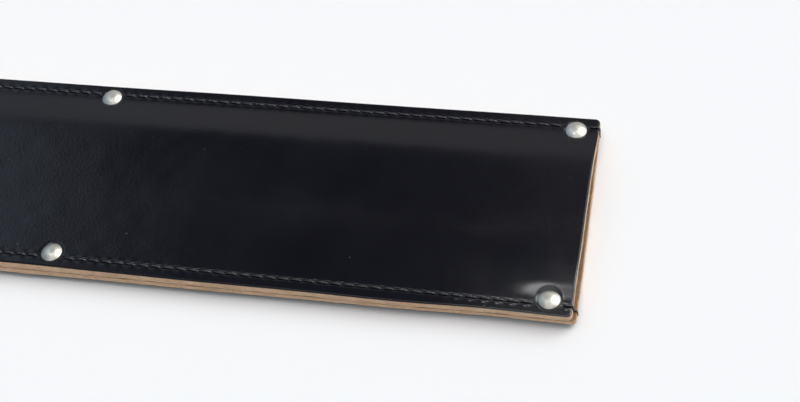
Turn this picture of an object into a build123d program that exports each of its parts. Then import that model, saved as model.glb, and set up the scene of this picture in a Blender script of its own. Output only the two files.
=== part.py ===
from build123d import *
from math import asin, copysign, cos, sin, sqrt
import os

os.makedirs("parts", exist_ok=True)

# Knife blade guard of black leather: two panels sewn and riveted together on three sides.
# Units are millimetres. The guard lies flat, +X points out of the mouth, +Y towards the spine side
# of the blade, +Z up. The origin is the middle of the bounding box's underside.

# Driving sizes
length = 320.0           # front panel, tip edge to mouth edge
width = 72.0             # spine edge to cutting-edge edge
front_thick = 2.8        # leather of the front panel
back_thick = 2.2         # leather of the back panel
mouth_overhang = 1.2     # back panel past the front one at the cutting-edge corner, none at the other
corner_r = 1.5           # outline corners of both panels
edge_round = 0.45        # outer rims of both panels

flange_w = 5.0           # flat sewn border
shoulder_w = 13.0        # S shaped slope between border and raised or lowered middle
shoulder_corner_r = 18.0 # border's inner line in the two tip corners
front_rise = 3.2         # crest of the front panel, over the blade's spine
blade_slope_w = 45.0     # gentle slope from the crest down to the border on the cutting-edge side
back_drop = 1.4          # lowered middle of the back panel

thread_d = 0.66
stitch_pitch = 4.0
seam_inset = 3.6         # seam line to leather edge
leg_gap = 0.8            # between the two thread legs in one needle hole
thread_clear = 0.05      # free space round the threads
first_hole = 3.2         # mouth edge to first needle hole

rivet_inset = 5.1        # rivet axis to leather edge
rivet_end = 6.9          # rivet axis to mouth edge and tip edge
cap_d = 6.6
cap_h = 1.5              # domed cap, top to underside
cap_rim_h = 0.35         # straight rim below the dome
cap_sheet = 0.3          # sheet metal of the caps
cap_press = 0.3          # depth that a cap sinks into the leather
post_d = 2.0
head_d = 2.9             # spread end of the post inside the cap
head_h = 0.35
post_clear = 0.05        # free space between post and leather
cap_clear = 0.08         # free space round a cap in its hollow

overrun = 4.0            # how far cutters run past the faces they cut
near = 0.005             # an edge no further than this from a face lies on it

# Derived sizes
half_w = width / 2
thread_r = thread_d / 2
bed = thread_r + thread_clear                   # thread axis above the floor of its groove
y_seam = half_w - seam_inset
y_rivet = half_w - rivet_inset


def overhang_share(y):
    """How far the back panel stands out past the front one at a height across the mouth."""
    return mouth_overhang * (half_w - y) / width


loop_w = thread_d + thread_clear                # thread standing out past the mouth edge
x_tip = -(length + overhang_share(-y_seam) + loop_w) / 2
x_mouth = x_tip + length
x_overhang = x_mouth + mouth_overhang
x_open = x_overhang + overrun                   # end of the sheets before they are trimmed

z_back = back_drop                              # underside of the sewn border
z_seam = z_back + back_thick                    # where the two panels meet
z_front = z_seam + front_thick                  # top of the sewn border
z_top = z_front + front_rise                    # top of the raised middle

y_flange = half_w - flange_w
y_plateau = y_flange - shoulder_w
plateau_corner_r = shoulder_corner_r - shoulder_w

x_rivet_mouth = x_mouth - rivet_end
x_rivet_tip = x_tip + rivet_end
x_rivet_middle = (x_rivet_mouth + x_rivet_tip) / 2
cap_r = cap_d / 2
hollow_r = cap_r + cap_clear                    # leather pressed flat round a cap

hole_w = thread_d + 2 * thread_clear
hole_l = leg_gap + thread_d + 2 * thread_clear


# Panels
def pocket_outline(half_y, corner, mode=Mode.ADD):
    """U shaped area that is open to the mouth, with two rounded tip corners."""
    x_end = x_tip + half_w - half_y
    corners = [(x_open, half_y), (x_end, half_y), (x_end, -half_y), (x_open, -half_y)]
    with BuildLine() as outline:
        FilletPolyline(*corners, radius=corner)
        Line(corners[-1], corners[0])
    make_face(outline.edges(), mode=mode)


def slope_turns(thick, run, rise):
    """Turning points of an S shaped slope's two faces, from its lower face's start, and the lean there."""
    mean_r = (run**2 + rise**2) / (4 * abs(rise))
    slope = copysign(asin(run / 2 / mean_r), rise)
    middle = (run / 2, (thick + rise) / 2)
    step = (-thick / 2 * sin(slope), thick / 2 * cos(slope))
    under = (middle[0] - step[0], middle[1] - step[1])
    above = (middle[0] + step[0], middle[1] + step[1])
    return under, above, (cos(slope), sin(slope))


def slope_line(z_low, start, turn, lean, run, rise):
    """One face of an S shaped slope, from its start height above the sheet's underside on the border."""
    middle = (turn[0], z_low + turn[1])
    TangentArc((0, z_low + start), middle, tangent=(1, 0))
    TangentArc(middle, (run, z_low + start + rise), tangent=lean)


def pocket_rim():
    """Inner line of the sewn border, on which the section of the slope is swept."""
    x_end = x_tip + flange_w
    corners = [(x_open, y_flange), (x_end, y_flange), (x_end, -y_flange), (x_open, -y_flange)]
    with BuildLine() as rim:
        FilletPolyline(*corners, radius=shoulder_corner_r)
    return rim.wires()[0]


def rim_plane():
    """Plane of the slope's section at the open end of the spine side's border."""
    return Plane(origin=(x_open, y_flange, 0), x_dir=(0, -1, 0), z_dir=(-1, 0, 0))


def flat_border(z_low, thick):
    """Sewn border on three sides."""
    with BuildSketch(Plane.XY.offset(z_low)) as border:
        with Locations(((x_tip + x_open) / 2, 0)):
            Rectangle(x_open - x_tip, width)
        pocket_outline(y_flange, shoulder_corner_r, Mode.SUBTRACT)
    extrude(border.sketch, amount=thick)


def lowered_middle(z_low, thick, rise):
    """S shaped shoulder on three sides and level middle of a sheet."""
    under, above, lean = slope_turns(thick, shoulder_w, rise)
    with BuildSketch(Plane.XY.offset(z_low + rise)) as middle:
        pocket_outline(y_plateau, plateau_corner_r)
    extrude(middle.sketch, amount=thick)
    with BuildSketch(rim_plane()) as shoulder:
        with BuildLine() as outline:
            slope_line(z_low, 0, under, lean, shoulder_w, rise)
            Line((shoulder_w, z_low + rise), (shoulder_w, z_low + rise + thick))
            slope_line(z_low, thick, above, lean, shoulder_w, rise)
            Line((0, z_low + thick), (0, z_low))
        make_face(outline.edges())
    sweep(shoulder.sketch, path=pocket_rim())


def slope_area(is_top, run, z_shut):
    """Area between one face of the front panel's slope and a level line."""
    start = front_thick if is_top else 0
    under, above, lean = slope_turns(front_thick, run, front_rise)
    with BuildLine() as outline:
        slope_line(z_seam, start, above if is_top else under, lean, run, front_rise)
        Polyline((run, z_seam + start + front_rise), (run, z_shut), (0, z_shut), (0, z_seam + start))
    make_face(outline.edges())


def raised_field(is_top, z_shut):
    """Solid between one face of the front panel, inside its border, and a level plane below."""
    z_crest = z_top if is_top else z_top - front_thick
    with BuildSketch(Plane.XY.offset(z_shut)) as middle:
        pocket_outline(y_plateau, plateau_corner_r)
    extrude(middle.sketch, amount=z_crest - z_shut)
    with BuildSketch(rim_plane()) as shoulder:
        slope_area(is_top, shoulder_w, z_shut)
    sweep(shoulder.sketch, path=pocket_rim())
    x_start = x_tip - overrun
    with BuildSketch(Plane(origin=(x_start, -y_flange, 0), x_dir=(0, 1, 0), z_dir=(1, 0, 0))) as slope:
        slope_area(is_top, blade_slope_w, z_top + overrun)
    extrude(slope.sketch, amount=x_open + overrun - x_start, mode=Mode.SUBTRACT)


def trim_to_outline(overhang):
    """Keep what lies inside the panel's outline, whose mouth edge is slanted by the overhang."""
    corners = [(x_tip, half_w), (x_mouth, half_w), (x_mouth + overhang, -half_w), (x_tip, -half_w)]
    with BuildSketch(Plane.XY.offset(-overrun)) as outline:
        Polygon(*corners, align=None)
        fillet(outline.vertices(), corner_r)
    extrude(outline.sketch, amount=z_top + 2 * overrun, mode=Mode.INTERSECT)


# Seams and rivets
def hole_share(span, count):
    """Evenly spread positions of the needle holes, from one end of the seam to the other."""
    return [span * i / (count - 1) for i in range(count)]


long_run = length - first_hole - seam_inset
long_holes = [x_mouth - first_hole - s for s in hole_share(long_run, round(long_run / stitch_pitch) + 1)]
tip_run = width - 2 * (seam_inset + stitch_pitch)
tip_holes = [tip_run / 2 - s for s in hole_share(tip_run, round(tip_run / stitch_pitch) + 1)]
x_tip_seam = x_tip + seam_inset

rivet_spots = {
    "mouth_spine": (x_rivet_mouth, y_rivet),
    "mouth_edge": (x_rivet_mouth, -y_rivet),
    "middle_spine": (x_rivet_middle, y_rivet),
    "middle_edge": (x_rivet_middle, -y_rivet),
    "tip_spine": (x_rivet_tip, y_rivet),
    "tip_edge": (x_rivet_tip, -y_rivet),
}

sunk = cap_press + bed                          # thread axis below the leather where a cap lies over it


def under_cap(first, second, fixed, along_x):
    """Whether a stitch between two hole positions passes below a rivet's cap."""
    for x, y in rivet_spots.values():
        here, off = (x, abs(y - fixed)) if along_x else (y, abs(x - fixed))
        if off < hollow_r and min(first, second) < here + hollow_r and max(first, second) > here - hollow_r:
            return True
    return False


def seam_runs(holes, fixed, along_x):
    """Stretches between neighbouring holes, each with whether a cap lies over it."""
    return [(a, b, under_cap(a, b, fixed, along_x)) for a, b in zip(holes, holes[1:])]


def stitch_path(holes, fixed, along_x, z_face, z_lock, start):
    """Corner points of one thread: along the leather's face and down into each hole."""
    inward = copysign(1, z_lock - z_face)
    half = leg_gap / 2
    heights = [z_face + inward * (sunk if low else 0) for a, b, low in seam_runs(holes, fixed, along_x)]
    points = list(start)
    if start:
        points += [(holes[0] + half, z_face), (holes[0] + half, z_lock)]
    for hole, after, height in zip(holes, holes[1:], heights):
        points += [(hole - half, z_lock), (hole - half, height)]
        points += [(after + half, height), (after + half, z_lock)]
    if along_x:
        return [(p[0], fixed, p[1]) for p in points]
    return [(fixed, p[0], p[1]) for p in points]


def thread_along(points):
    """Round thread swept along its corner points."""
    with BuildLine() as run:
        Polyline(*points)
    with BuildSketch(Plane(origin=points[0], z_dir=run.wires()[0] % 0)) as slice_of_thread:
        Circle(thread_r)
    sweep(slice_of_thread.sketch, path=run.wires()[0], transition=Transition.RIGHT)


def cut_seam(z_face, z_inner, holes, fixed, along_x):
    """Needle holes, the groove that the stitches lie in and its deeper stretches below the caps."""
    inward = copysign(1, z_inner - z_face)
    turn = 0 if along_x else 90

    def spot(position):
        return (position, fixed) if along_x else (fixed, position)

    with BuildSketch(Plane.XY.offset(z_inner + inward * overrun)) as needle_holes:
        with Locations(*[spot(hole) for hole in holes]):
            Rectangle(hole_l, hole_w, rotation=turn)
    depth = abs(z_face - z_inner) + 2 * overrun
    extrude(needle_holes.sketch, amount=-inward * depth, mode=Mode.SUBTRACT)
    grooves = [(x_open if along_x else holes[0], holes[-1], bed)]
    grooves += [(a, b, sunk + bed) for a, b, low in seam_runs(holes, fixed, along_x) if low]
    for a, b, depth in grooves:
        with BuildSketch(Plane.XY.offset(z_face + inward * depth)) as groove:
            with Locations(spot((a + b) / 2)):
                Rectangle(abs(a - b), hole_w, rotation=turn)
        extrude(groove.sketch, amount=-inward * (depth + overrun), mode=Mode.SUBTRACT)


def cut_rivets(z_face, z_inner):
    """Post holes, and the hollows that the caps press into the leather."""
    inward = copysign(1, z_inner - z_face)
    with BuildSketch(Plane.XY.offset(z_inner + inward * overrun)) as post_holes:
        with Locations(*rivet_spots.values()):
            Circle(post_d / 2 + post_clear)
    depth = abs(z_face - z_inner) + 2 * overrun
    extrude(post_holes.sketch, amount=-inward * depth, mode=Mode.SUBTRACT)
    with BuildSketch(Plane.XY.offset(z_face + inward * cap_press)) as hollows:
        with Locations(*rivet_spots.values()):
            Circle(hollow_r)
    extrude(hollows.sketch, amount=-inward * overrun, mode=Mode.SUBTRACT)


def outer_rim(part, z_face):
    """Edges of the panel's outline on the given face of the sewn border, mouth edge left out."""
    level = part.edges().filter_by(lambda e: e.bounding_box().size.Z < near)
    rim = level.filter_by(lambda e: abs(e.center().Z - z_face) < near)
    return rim.filter_by(lambda e: abs(e.center().Y) > half_w - corner_r or e.center().X < x_tip + corner_r)


seams = {
    "spine": (long_holes, y_seam, True),
    "edge": (long_holes, -y_seam, True),
    "tip": (tip_holes, x_tip_seam, False),
}

with BuildPart() as front_hollow:
    raised_field(False, z_seam - overrun)

with BuildPart() as front_panel:
    flat_border(z_seam, front_thick)
    raised_field(True, z_seam)
    add(front_hollow.part, mode=Mode.SUBTRACT)
    trim_to_outline(0)
    fillet(outer_rim(front_panel, z_front), edge_round)
    for holes, fixed, along_x in seams.values():
        cut_seam(z_front, z_seam, holes, fixed, along_x)
    cut_rivets(z_front, z_seam)

with BuildPart() as back_panel:
    flat_border(z_back, back_thick)
    lowered_middle(z_back, back_thick, -back_drop)
    trim_to_outline(mouth_overhang)
    fillet(outer_rim(back_panel, z_back), edge_round)
    for holes, fixed, along_x in seams.values():
        cut_seam(z_back, z_seam, holes, fixed, along_x)
    cut_rivets(z_back, z_seam)

panels = {"front_panel": front_panel, "back_panel": back_panel}
for name, panel in panels.items():
    panel.part.label = name
    export_step(panel.part, f"parts/{name}.step")

# Threads
z_needle_lock = z_seam + bed
z_bobbin_lock = z_seam - bed


def mouth_wrap(y):
    """The needle thread's end: out of the last hole below, then up over the mouth edges of both panels."""
    x_front = x_mouth + bed
    x_back = x_front + overhang_share(y)
    x_hole = x_mouth - first_hole + leg_gap / 2
    wrap = [(x_hole, z_bobbin_lock), (x_hole, z_back), (x_back, z_back)]
    if x_back - x_front > thread_d:
        wrap += [(x_back, z_needle_lock), (x_front, z_needle_lock), (x_front, z_front)]
    else:
        wrap.append((x_back, z_front))
    return wrap


for name, (holes, fixed, along_x) in seams.items():
    start = mouth_wrap(fixed) if along_x else []
    with BuildPart() as needle_thread:
        thread_along(stitch_path(holes, fixed, along_x, z_front, z_needle_lock, start))
    needle_thread.part.label = f"{name}_needle_thread"
    export_step(needle_thread.part, f"parts/{name}_needle_thread.step")
    with BuildPart() as bobbin_thread:
        thread_along(stitch_path(holes, fixed, along_x, z_back, z_bobbin_lock, []))
    bobbin_thread.part.label = f"{name}_bobbin_thread"
    export_step(bobbin_thread.part, f"parts/{name}_bobbin_thread.step")

# Rivets
z_cap = z_front - cap_press                     # rim of the front caps
z_base = z_back + cap_press                     # rim of the back caps
cap_top = z_cap + cap_h
dome_h = cap_h - cap_rim_h
dome_r = (cap_r**2 + dome_h**2) / (2 * dome_h)
hollow_dome_r = dome_r - cap_sheet
hollow_edge_r = sqrt(hollow_dome_r**2 - (dome_r - cap_h + cap_sheet) ** 2)


def dome_arc(start_r, sphere_r, z_pole, way):
    """Arc from a radius on a dome to its pole."""
    half_angle = asin(start_r / sphere_r) / 2
    middle = (sphere_r * sin(half_angle), z_pole - way * sphere_r * (1 - cos(half_angle)))
    start = (start_r, z_pole - way * sphere_r * (1 - cos(2 * half_angle)))
    ThreePointArc(start, middle, (0, z_pole))


with BuildPart() as cap_form:
    with BuildSketch(Plane.XZ):
        with BuildLine():
            dome_arc(cap_r, dome_r, cap_top, 1)
            Line((0, cap_top), (0, cap_top - cap_sheet))
            dome_arc(hollow_edge_r, hollow_dome_r, cap_top - cap_sheet, 1)
            Polyline(
                (hollow_edge_r, z_cap + cap_sheet),
                (post_d / 2, z_cap + cap_sheet),
                (post_d / 2, z_cap),
                (cap_r, z_cap),
                (cap_r, z_cap + cap_rim_h),
            )
        make_face()
    revolve(axis=Axis.Z)

with BuildPart() as post_form:
    with BuildSketch(Plane.XZ):
        with BuildLine():
            dome_arc(cap_r, dome_r, z_base - cap_h, -1)
            Polyline(
                (cap_r, z_base - cap_rim_h),
                (cap_r, z_base),
                (post_d / 2, z_base),
                (post_d / 2, z_cap + cap_sheet),
                (head_d / 2, z_cap + cap_sheet),
                (head_d / 2, z_cap + cap_sheet + head_h),
                (0, z_cap + cap_sheet + head_h),
                (0, z_base - cap_h),
            )
        make_face()
    revolve(axis=Axis.Z)

for name, (x, y) in rivet_spots.items():
    cap = cap_form.part.moved(Location((x, y, 0)))
    cap.label = f"rivet_cap_{name}"
    export_step(cap, f"parts/rivet_cap_{name}.step")
    post = post_form.part.moved(Location((x, y, 0)))
    post.label = f"rivet_post_{name}"
    export_step(post, f"parts/rivet_post_{name}.step")
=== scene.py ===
import logging
from dataclasses import dataclass
from enum import Enum, IntEnum
from math import cos, pi, radians, sin

import bmesh
import bpy
import numpy as np
from mathutils import Matrix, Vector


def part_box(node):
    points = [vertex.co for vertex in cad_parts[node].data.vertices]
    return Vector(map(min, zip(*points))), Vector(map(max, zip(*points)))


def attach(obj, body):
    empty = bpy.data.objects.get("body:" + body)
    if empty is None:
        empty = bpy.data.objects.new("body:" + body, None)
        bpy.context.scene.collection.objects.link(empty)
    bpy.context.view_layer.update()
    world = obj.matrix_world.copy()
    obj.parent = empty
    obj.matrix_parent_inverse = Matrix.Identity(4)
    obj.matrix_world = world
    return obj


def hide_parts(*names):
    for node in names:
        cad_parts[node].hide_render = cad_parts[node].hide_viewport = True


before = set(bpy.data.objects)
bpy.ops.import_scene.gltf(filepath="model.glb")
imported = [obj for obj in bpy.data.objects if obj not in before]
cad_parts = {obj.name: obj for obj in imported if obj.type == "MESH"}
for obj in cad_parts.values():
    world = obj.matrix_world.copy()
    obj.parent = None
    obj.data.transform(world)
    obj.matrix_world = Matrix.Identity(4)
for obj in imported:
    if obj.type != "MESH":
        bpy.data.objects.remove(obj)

LOG = logging.getLogger("guard")
BODY = "guard"
MM = 0.001
RIVET_NAMES = ("mouth_spine", "mouth_edge", "middle_spine", "middle_edge", "tip_spine", "tip_edge")
Array = np.ndarray
Colour = tuple[float, float, float]
Point = tuple[float, float, float]
Span = tuple[float, float]
Knots = tuple[Span, ...]


# Sizes

@dataclass(frozen=True)
class GuardSizes:
    """Sizes that several pieces share, in millimetres, in the frame's own axes."""

    x_tip: float
    x_mouth: float
    half_w: float
    z_back: float = 1.4
    z_seam: float = 3.6
    z_front: float = 6.4
    front_rise: float = 3.2
    back_drop: float = 1.4
    overhang: float = 1.2
    corner_r: float = 1.5
    flange_w: float = 5.0
    shoulder_w: float = 13.0
    shoulder_corner_r: float = 18.0
    long_slope_w: float = 45.0
    thread_r: float = 0.33
    stitch_pitch: float = 4.0
    seam_inset: float = 3.6
    leg_gap: float = 0.8
    first_hole: float = 3.2
    cap_press: float = 0.3

    @classmethod
    def from_frame(cls) -> "GuardSizes":
        """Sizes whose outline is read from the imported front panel."""
        low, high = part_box("front_panel")
        return cls(low.x / MM, high.x / MM, high.y / MM)

    @property
    def y_seam(self) -> float:
        """Distance of the two long seams from the middle line."""
        return self.half_w - self.seam_inset

    @property
    def y_flange(self) -> float:
        """Distance of the sewn border's inner line from the middle line."""
        return self.half_w - self.flange_w

    def overhang_at(self, y: float) -> float:
        """How far the back panel stands out past the front one at a height across the mouth."""
        return self.overhang * (self.half_w - y) / (2 * self.half_w)

    def long_holes(self) -> Array:
        """Needle holes of a long seam.

        Returns:
            Their positions, from the mouth to the tip.
        """
        start = self.x_mouth - self.first_hole
        run = start - self.x_tip - self.seam_inset
        return start - run * np.linspace(0, 1, round(run / self.stitch_pitch) + 1)

    def tip_holes(self) -> Array:
        """Needle holes of the seam across the closed end, from the spine side down."""
        run = 2 * (self.half_w - self.seam_inset - self.stitch_pitch)
        return run / 2 - run * np.linspace(0, 1, round(run / self.stitch_pitch) + 1)

    def rivets(self) -> dict[str, Span]:
        """Axes of the six rivets.

        Returns:
            Each rivet's x and y by its name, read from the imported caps.
        """
        spots = {}
        for name in RIVET_NAMES:
            low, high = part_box(f"rivet_cap_{name}")
            spots[name] = ((low.x + high.x) / 2 / MM, (low.y + high.y) / 2 / MM)
        return spots


class Facing(Enum):
    """Which way the grain side of a panel looks."""

    UP = 1
    DOWN = -1


class Lie(Enum):
    """Direction in which a seam runs."""

    ALONG = 0
    ACROSS = 1


class Layer(IntEnum):
    """Finishes of a panel's faces, by their place among its materials."""

    GRAIN = 0
    CUT = 1
    FLESH = 2


# Shader maths

class Signal:
    """A shader socket on which Python's operators add Math nodes."""

    def __init__(self, bench: "Bench", socket: bpy.types.NodeSocket) -> None:
        """Wrap an output socket of one tree."""
        self.bench = bench
        self.socket = socket

    def _join(self, operation: str, first: "Signal | float", second: "Signal | float") -> "Signal":
        """One Math node on two values."""
        return self.bench.node("ShaderNodeMath", {"operation": operation}, {0: first, 1: second})

    def __add__(self, other: "Signal | float") -> "Signal":
        """Sum."""
        return self._join("ADD", self, other)

    def __radd__(self, other: float) -> "Signal":
        """Sum with a number on the left."""
        return self._join("ADD", other, self)

    def __sub__(self, other: "Signal | float") -> "Signal":
        """Difference."""
        return self._join("SUBTRACT", self, other)

    def __rsub__(self, other: float) -> "Signal":
        """Difference from a number."""
        return self._join("SUBTRACT", other, self)

    def __mul__(self, other: "Signal | float") -> "Signal":
        """Product."""
        return self._join("MULTIPLY", self, other)

    def __rmul__(self, other: float) -> "Signal":
        """Product with a number on the left."""
        return self._join("MULTIPLY", other, self)

    def __gt__(self, other: "Signal | float") -> "Signal":
        """One where the value is above the other, else zero."""
        return self._join("GREATER_THAN", self, other)

    def __lt__(self, other: "Signal | float") -> "Signal":
        """One where the value is below the other, else zero."""
        return self._join("LESS_THAN", self, other)

    def ease(self, low: float, high: float) -> "Signal":
        """Smooth step, rising or falling.

        Args:
            low: value at which the result is 0.
            high: value at which it is 1; it falls where this is the smaller one.

        Returns:
            The step, between 0 and 1.
        """
        start, end, back = (low, high, False) if low < high else (high, low, True)
        step = self.bench.node(
            "ShaderNodeMapRange",
            {"interpolation_type": "SMOOTHSTEP"},
            {"Value": self, "From Min": start, "From Max": end},
        )
        return 1 - step if back else step


class Bench:
    """Adds nodes to one material's or the world's tree."""

    def __init__(self, tree: bpy.types.NodeTree) -> None:
        """Start from an empty tree."""
        self.tree = tree
        tree.nodes.clear()

    def node(
        self,
        kind: str,
        settings: dict | None = None,
        sockets: dict | None = None,
        out: int | str = 0,
    ) -> Signal:
        """Add one node.

        Args:
            kind: Blender's name for the node's type.
            settings: properties, set first.
            sockets: values or signals by the input's name or number.
            out: name or number of the output that is returned.

        Returns:
            The chosen output.
        """
        made = self.tree.nodes.new(kind)
        for key, value in (settings or {}).items():
            setattr(made, key, value)
        for key, value in (sockets or {}).items():
            port = made.inputs[key]
            if isinstance(value, Signal):
                self.tree.links.new(value.socket, port)
            else:
                port.default_value = value
        return Signal(self, made.outputs[out] if made.outputs else None)

    def place(self) -> Signal:
        """Position in the frame, in metres."""
        return self.node("ShaderNodeTexCoord", out="Object")

    def part(self, vector: Signal, axis: str) -> Signal:
        """X, Y or Z of a vector."""
        return self.node("ShaderNodeSeparateXYZ", None, {"Vector": vector}, out=axis)

    def towards(self, way: Signal, aim: Point) -> Signal:
        """Cosine of the angle between a direction and an aim of length one."""
        return self.node("ShaderNodeVectorMath", {"operation": "DOT_PRODUCT"}, {0: way, 1: aim}, out="Value")

    def stretched(self, place: Signal, scale: Point) -> Signal:
        """Position multiplied along each axis."""
        return self.node("ShaderNodeVectorMath", {"operation": "MULTIPLY"}, {0: place, 1: scale})

    def noise(self, place: Signal, size: float, detail: float = 3.0, roughness: float = 0.5) -> Signal:
        """Noise between 0 and 1 whose spots are about size metres wide."""
        return self.node(
            "ShaderNodeTexNoise",
            {"noise_dimensions": "3D"},
            {"Vector": place, "Scale": 1 / size, "Detail": detail, "Roughness": roughness},
        )

    def cells(self, place: Signal, size: float, feature: str = "F1", out: str = "Distance") -> Signal:
        """Cell pattern whose cells are about size metres wide."""
        return self.node(
            "ShaderNodeTexVoronoi", {"feature": feature}, {"Vector": place, "Scale": 1 / size}, out=out
        )

    def mix(self, share: "Signal | float", first: "Signal | Colour", second: "Signal | Colour") -> Signal:
        """Blend of two colours."""
        colours = [c if isinstance(c, Signal) else (*c, 1.0) for c in (first, second)]
        return self.node(
            "ShaderNodeMix", {"data_type": "RGBA"}, {0: share, 6: colours[0], 7: colours[1]}, out=2
        )

    def bump(self, height: Signal, depth: float, strength: float) -> Signal:
        """Normal of a surface with the given relief, depth in metres."""
        return self.node("ShaderNodeBump", None, {"Height": height, "Distance": depth, "Strength": strength})


class Finish:
    """Common making of a material; each finish gives its own shader sockets, with sizes in metres."""

    name: str

    def sockets(self, bench: Bench) -> dict:
        """Values and signals for the shader's sockets, made on the bench."""
        raise NotImplementedError

    def material(self) -> bpy.types.Material:
        """The finish as a material.

        Returns:
            The material, made at the first call.
        """
        found = bpy.data.materials.get(self.name)
        if found:
            return found
        made = bpy.data.materials.new(self.name)
        made.use_nodes = True
        bench = Bench(made.node_tree)
        shader = bench.node("ShaderNodeBsdfPrincipled", None, self.sockets(bench))
        bench.node("ShaderNodeOutputMaterial", None, {"Surface": shader})
        return made


@dataclass(frozen=True)
class GrainLeather(Finish):
    """Smooth black grain side: a fine pebble, a soft gloss, a polished patch at the mouth, a little dust."""

    name: str = "black_grain_leather"
    black: Colour = (0.0026, 0.0028, 0.0060)
    worn: Colour = (0.0038, 0.0041, 0.0080)
    dust: Colour = (0.16, 0.16, 0.17)
    roughness: float = 0.20
    index: float = 1.37
    polish: float = 0.50
    polish_index: float = 1.9
    polish_along: Span = (0.115, 0.150)
    polish_across: Span = (-0.016, -0.026)
    cloud: float = 0.022
    worn_span: Span = (0.42, 0.72)
    pebble: float = 0.00080
    pebble_stretch: Point = (1.0, 1.25, 1.0)
    crease: float = 0.004
    crease_stretch: Point = (0.35, 1.0, 1.0)
    relief: float = 0.00007
    strength: float = 0.6
    speck_gap: float = 0.0042
    speck_r: float = 0.035
    speck_from: float = 0.80

    def sockets(self, bench: Bench) -> dict:
        """Grain, polish and dust.

        Args:
            bench: the material's bench.

        Returns:
            Values and signals by the socket's name.
        """
        place = bench.place()
        cloud = bench.noise(place, self.cloud, 4.0)
        pebble = bench.cells(bench.stretched(place, self.pebble_stretch), self.pebble, "SMOOTH_F1")
        pores = bench.noise(place, self.pebble * 0.4, 2.0)
        creases = bench.noise(bench.stretched(place, self.crease_stretch), self.crease, 5.0, 0.65)
        used = bench.part(place, "X").ease(*self.polish_along)
        low = bench.part(place, "Y").ease(*self.polish_across)
        grain = pebble * 0.5 + pores * (used + 0.4) + creases * 0.35
        colour = bench.mix(cloud.ease(*self.worn_span) * 0.7, self.black, self.worn)
        lots = bench.cells(place, self.speck_gap, out="Color")
        lot = bench.node("ShaderNodeSeparateColor", None, {"Color": lots})
        speck = (bench.cells(place, self.speck_gap) < self.speck_r) * (lot > self.speck_from)
        return {
            "Base Color": bench.mix(speck, colour, self.dust),
            "Roughness": self.roughness + (cloud - 0.5) * 0.12 + (pores - 0.5) * 0.10,
            "Normal": bench.bump(grain, self.relief, self.strength),
            "IOR": self.index,
            "Coat Weight": used * low * self.polish,
            "Coat IOR": self.polish_index,
            "Coat Roughness": self.roughness,
        }


@dataclass(frozen=True)
class CutEdge(Finish):
    """Bare cut edge: pale tan fibres that run along the sheet, darker near the grain side where the black
    dye has crept in, with painted shade near the inner side where the two panels meet.
    """

    name: str = "tan_cut_edge"
    pale: Colour = (0.76, 0.535, 0.36)
    tan: Colour = (0.53, 0.345, 0.215)
    brown: Colour = (0.22, 0.12, 0.07)
    roughness: float = 0.78
    sheen: float = 0.25
    strand: float = 0.0006
    strand_stretch: Point = (0.4, 0.4, 1.6)
    patch: float = 0.006
    patch_stretch: Point = (1.0, 1.0, 2.0)
    fuzz: float = 0.00022
    relief: float = 0.00022
    strength: float = 0.8
    wool_span: Span = (0.42, 0.78)
    dye_and_shade_span: Span = (0.2, 0.75)
    face_rim: Span = (0.20, 0.05)
    painted_shade_span: Span = (-0.16, 0.0)

    def sockets(self, bench: Bench) -> dict:
        """Fibres, a dyed rim at the grain side and a rim of painted shade at the inner side; the mesh's
        depth is 0 at the grain side and 1 at the inner side.

        Args:
            bench: the material's bench.

        Returns:
            Values and signals by the socket's name.
        """
        place = bench.place()
        depth = bench.node("ShaderNodeAttribute", {"attribute_name": "depth"}, out="Fac")
        strands = bench.noise(bench.stretched(place, self.strand_stretch), self.strand, 4.0, 0.65)
        patches = bench.noise(bench.stretched(place, self.patch_stretch), self.patch, 3.0)
        fuzz = bench.noise(place, self.fuzz, 2.0)
        wool = bench.mix((strands * 0.7 + patches * 0.5).ease(*self.wool_span), self.tan, self.pale)
        # Darker rims: black dye crept in below the grain side, and painted shade at the inner side where the
        # two panels meet.
        rims = (depth - 1).ease(*self.painted_shade_span) * 0.9 + depth.ease(*self.face_rim) * 0.8
        return {
            "Base Color": bench.mix(rims * patches.ease(*self.dye_and_shade_span), wool, self.brown),
            "Roughness": self.roughness + (strands - 0.5) * 0.2,
            "Normal": bench.bump(strands * 0.7 + fuzz * 0.5, self.relief, self.strength),
            "Specular IOR Level": self.sheen,
        }


@dataclass(frozen=True)
class FleshSide(Finish):
    """Napped inner side of the leather."""

    name: str = "brown_flesh_side"
    pale: Colour = (0.33, 0.215, 0.125)
    deep: Colour = (0.19, 0.115, 0.062)
    roughness: float = 0.86
    sheen: float = 0.2
    nap: float = 0.0009
    swirl: float = 0.012
    pale_span: Span = (0.35, 0.75)
    relief: float = 0.0003
    strength: float = 0.8

    def sockets(self, bench: Bench) -> dict:
        """Nap in soft swirls.

        Args:
            bench: the material's bench.

        Returns:
            Values and signals by the socket's name.
        """
        place = bench.place()
        nap = bench.noise(place, self.nap, 5.0, 0.7)
        swirl = bench.noise(place, self.swirl, 3.0)
        return {
            "Base Color": bench.mix((nap * 0.6 + swirl * 0.5).ease(*self.pale_span), self.deep, self.pale),
            "Roughness": self.roughness + (nap - 0.5) * 0.1,
            "Normal": bench.bump(nap, self.relief, self.strength),
            "Specular IOR Level": self.sheen,
        }


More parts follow.
